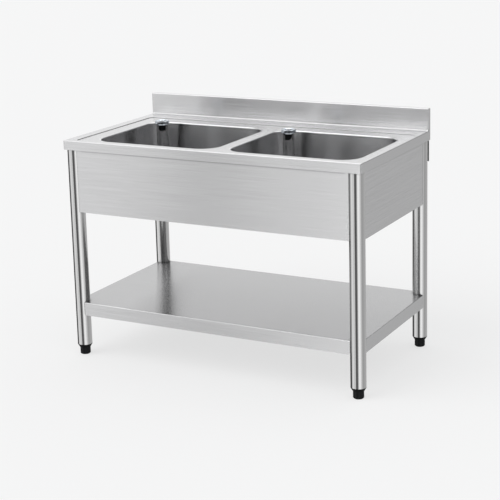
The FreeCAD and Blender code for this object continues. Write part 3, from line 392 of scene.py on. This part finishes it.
tube_steel, tree = new_material("polished_stainless_tube")
place = add_node(tree, "ShaderNodeTexCoord")
laid = add_node(tree, "ShaderNodeMapping", {"Vector": place.outputs["Object"]},
                Scale=(1 / DRAW_PITCH, 1 / DRAW_PITCH, 1 / DRAW_LENGTH))
lines = add_node(tree, "ShaderNodeTexNoise", {"Vector": laid.outputs[0]}, Scale=1.0, Detail=2.0)
tone = add_node(tree, "ShaderNodeValToRGB", {"Fac": lines.outputs["Fac"]})
base = linear(TUBE)
for stop, position, share in zip(tone.color_ramp.elements, TONE_STOPS, TUBE_TONES):
    stop.position = position
    stop.color = [value * share for value in base[:3]] + [1.0]
gloss = add_node(tree, "ShaderNodeMapRange", {"Value": lines.outputs["Fac"]},
                 To_Min=TUBE_GLOSS[0], To_Max=TUBE_GLOSS[1])
relief = add_node(tree, "ShaderNodeBump", {"Height": lines.outputs["Fac"]},
                  Strength=0.04, Distance=DRAW_DEPTH)
upright = add_node(tree, "ShaderNodeCombineXYZ", Z=1.0)
# painted shade where a leg or pipe meets other pieces
shaded = add_node(tree, "ShaderNodeVectorMath", {0: tone.outputs["Color"], "Scale": painted_joint_shade(tree)},
                  {"operation": "SCALE"})
surface = add_node(tree, "ShaderNodeBsdfPrincipled",
                   {"Base Color": shaded.outputs[0], "Roughness": gloss.outputs["Result"],
                    "Normal": relief.outputs["Normal"], "Tangent": upright.outputs[0]},
                   Metallic=1.0, Anisotropic=0.6)
add_node(tree, "ShaderNodeOutputMaterial", {"Surface": surface.outputs[0]})
dress(tube_steel, *[f"leg_{corner}" for corner in CORNERS], "overflow_pipe_left", "overflow_pipe_right")


# ---- Strainer crowns and waste flanges: die-cast brass, polished and chrome plated.
# Chrome is nearly a mirror, a little bluer than the steel, with faint water spots.

CHROME = "d3d9e0"
CHROME_GLOSS = (0.04, 0.11)     # clean plate, and a water spot
SPOT_SIZE = 0.004
SPOT_STOPS = (0.45, 0.75)       # values of the noise where a spot begins and is full

chrome, tree = new_material("bright_chrome_plate")
place = add_node(tree, "ShaderNodeTexCoord")
spots = add_node(tree, "ShaderNodeTexNoise", {"Vector": place.outputs["Object"]},
                 Scale=1 / SPOT_SIZE, Detail=2.0)
gloss = add_node(tree, "ShaderNodeMapRange", {"Value": spots.outputs["Fac"]},
                 From_Min=SPOT_STOPS[0], From_Max=SPOT_STOPS[1],
                 To_Min=CHROME_GLOSS[0], To_Max=CHROME_GLOSS[1])
surface = add_node(tree, "ShaderNodeBsdfPrincipled", {"Roughness": gloss.outputs["Result"]},
                   Metallic=1.0, Base_Color=linear(CHROME))
add_node(tree, "ShaderNodeOutputMaterial", {"Surface": surface.outputs[0]})
dress(chrome, "overflow_crown_left", "overflow_crown_right", "waste_flange_left", "waste_flange_right")


# ---- Feet, tube inserts, waste nuts and tails, and the crowns' cores: moulded black polyamide.
# It comes from a spark-eroded mould, so it has a fine even grain and a dull satin shine.

POLYAMIDE = "0f1113"
POLYAMIDE_GLOSS = (0.34, 0.50)
POLYAMIDE_SHINE = 0.2   # the grain scatters most of its shine
MOULD_GRAIN = 0.0005    # real grain is about 0.1 mm, drawn coarser so that it shows
GRAIN_DEPTH = 0.00008
SCUFF_SIZE = 1 / 60     # about 17 mm
SCUFF_STOPS = (0.35, 0.75)
SCUFF_TONES = (0.85, 1.35)

polyamide, tree = new_material("moulded_black_polyamide")
place = add_node(tree, "ShaderNodeTexCoord")
grain = add_node(tree, "ShaderNodeTexNoise", {"Vector": place.outputs["Object"]},
                 Scale=1 / MOULD_GRAIN, Detail=2.0)
scuffs = add_node(tree, "ShaderNodeTexNoise", {"Vector": place.outputs["Object"]},
                  Scale=1 / SCUFF_SIZE, Detail=3.0)
tone = add_node(tree, "ShaderNodeValToRGB", {"Fac": scuffs.outputs["Fac"]})
base = linear(POLYAMIDE)
for stop, position, share in zip(tone.color_ramp.elements, SCUFF_STOPS, SCUFF_TONES):
    stop.position = position
    stop.color = [value * share for value in base[:3]] + [1.0]
gloss = add_node(tree, "ShaderNodeMapRange", {"Value": scuffs.outputs["Fac"]},
                 To_Min=POLYAMIDE_GLOSS[0], To_Max=POLYAMIDE_GLOSS[1])
relief = add_node(tree, "ShaderNodeBump", {"Height": grain.outputs["Fac"]},
                  Strength=0.2, Distance=GRAIN_DEPTH)
surface = add_node(tree, "ShaderNodeBsdfPrincipled",
                   {"Base Color": tone.outputs["Color"], "Roughness": gloss.outputs["Result"],
                    "Normal": relief.outputs["Normal"]}, IOR=1.53,
                   Specular_IOR_Level=POLYAMIDE_SHINE)
add_node(tree, "ShaderNodeOutputMaterial", {"Surface": surface.outputs[0]})
dress(polyamide, *[f"foot_{part}_{corner}" for part in ("insert", "base") for corner in CORNERS],
      *[f"{part}_{side}" for part in ("waste_nut", "waste_tail", "overflow_core")
        for side in ("left", "right")])


# ---- Plugs and waste gaskets: moulded black rubber.  The plug closes the waste round the foot of
# the overflow pipe, and the gasket seals the waste to the bowl.  Both are matt, with a grey bloom.

RUBBER = "1b1b1b"
RUBBER_GLOSS = (0.55, 0.75)
BLOOM_SIZE = 0.006
BLOOM_STOPS = (0.4, 0.8)
BLOOM_TONES = (0.9, 2.0)

rubber, tree = new_material("moulded_black_rubber")
place = add_node(tree, "ShaderNodeTexCoord")
bloom = add_node(tree, "ShaderNodeTexNoise", {"Vector": place.outputs["Object"]},
                 Scale=1 / BLOOM_SIZE, Detail=3.0)
tone = add_node(tree, "ShaderNodeValToRGB", {"Fac": bloom.outputs["Fac"]})
base = linear(RUBBER)
for stop, position, share in zip(tone.color_ramp.elements, BLOOM_STOPS, BLOOM_TONES):
    stop.position = position
    stop.color = [value * share for value in base[:3]] + [1.0]
gloss = add_node(tree, "ShaderNodeMapRange", {"Value": bloom.outputs["Fac"]},
                 To_Min=RUBBER_GLOSS[0], To_Max=RUBBER_GLOSS[1])
surface = add_node(tree, "ShaderNodeBsdfPrincipled",
                   {"Base Color": tone.outputs["Color"], "Roughness": gloss.outputs["Result"]}, IOR=1.52)
add_node(tree, "ShaderNodeOutputMaterial", {"Surface": surface.outputs[0]})
dress(rubber, "overflow_plug_left", "overflow_plug_right", "waste_gasket_left", "waste_gasket_right")


# ---- Leg sockets, foot studs, rivet nuts and screws: mild steel, bright zinc plated and passivated.
# The plate is a soft grey mirror with a bluish cast, clouded where the bath left it uneven.

ZINC_BRIGHT = "bcc0c5"
ZINC_CLOUDED = "9da2a8"
ZINC_GLOSS = (0.38, 0.24)       # clouded, and bright
CLOUD_SIZE = 0.008
CLOUD_STOPS = (0.35, 0.65)

zinc, tree = new_material("bright_zinc_plated_steel")
place = add_node(tree, "ShaderNodeTexCoord")
clouds = add_node(tree, "ShaderNodeTexNoise", {"Vector": place.outputs["Object"]},
                  Scale=1 / CLOUD_SIZE, Detail=3.0)
tone = add_node(tree, "ShaderNodeValToRGB", {"Fac": clouds.outputs["Fac"]})
for stop, position, colour in zip(tone.color_ramp.elements, CLOUD_STOPS, (ZINC_CLOUDED, ZINC_BRIGHT)):
    stop.position = position
    stop.color = linear(colour)
gloss = add_node(tree, "ShaderNodeMapRange", {"Value": clouds.outputs["Fac"]},
                 To_Min=ZINC_GLOSS[0], To_Max=ZINC_GLOSS[1])
surface = add_node(tree, "ShaderNodeBsdfPrincipled",
                   {"Base Color": tone.outputs["Color"], "Roughness": gloss.outputs["Result"]}, Metallic=1.0)
add_node(tree, "ShaderNodeOutputMaterial", {"Surface": surface.outputs[0]})
dress(zinc, *[f"{part}_{corner}" for part in ("leg_socket", "foot_stud") for corner in CORNERS],
      "shelf_bolts", "leg_rivet_nuts", "socket_set_screws")


# ---- Foot studs: M12 threaded rod, rolled and zinc plated, screwed into the tube insert above and
# moulded into the foot below.  The thread shows when a foot is screwed out.

THREAD_PITCH = 0.00175
THREAD_DEPTH = 0.00107
THREAD_STEPS = 8        # rows of points in one pitch
THREAD_SIDES = 24
THREAD_LEAD = 0.0015    # height of the chamfer at each end
FLANK_SLOPE = 2.6       # how steeply a flank rises, in thread depths for one pitch
ROOT_FLAT = 0.2         # how far the flank's foot lies below the root, which cuts it flat

for corner in CORNERS:
    low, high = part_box(f"foot_stud_{corner}")
    middle = (low + high) / 2
    crest = (high.x - low.x) / 2
    rows = round((high.z - low.z) / THREAD_PITCH * THREAD_STEPS)
    points = []
    faces = []
    for row in range(rows + 1):
        z = low.z + (high.z - low.z) * row / rows
        from_end = min(z - low.z, high.z - z)
        room_left = crest - THREAD_DEPTH * max(0.0, 1 - from_end / THREAD_LEAD)
        for side in range(THREAD_SIDES):
            angle = 2 * math.pi * side / THREAD_SIDES
            phase = ((z - low.z) / THREAD_PITCH - side / THREAD_SIDES) % 1.0
            # from crest to root and back, with a narrow flat on each
            height = min(1.0, max(0.0, abs(phase - 0.5) * FLANK_SLOPE - ROOT_FLAT))
            radius = min(room_left, crest - THREAD_DEPTH * (1 - height))
            points.append((middle.x + radius * math.cos(angle), middle.y + radius * math.sin(angle), z))
    for row in range(rows):
        for side in range(THREAD_SIDES):
            after = (side + 1) % THREAD_SIDES
            start = row * THREAD_SIDES
            upper = start + THREAD_SIDES
            faces.append((start + side, start + after, upper + after, upper + side))
    faces.append(tuple(reversed(range(THREAD_SIDES))))
    faces.append(tuple(rows * THREAD_SIDES + side for side in range(THREAD_SIDES)))
    mesh = bpy.data.meshes.new(f"threaded_stud_{corner}")
    mesh.from_pydata(points, [], faces)
    mesh.materials.append(zinc)
    stud = bpy.data.objects.new(f"threaded_stud_{corner}", mesh)
    bpy.context.collection.objects.link(stud)
    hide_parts(f"foot_stud_{corner}")
    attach(stud, f"foot_stud_{corner}")
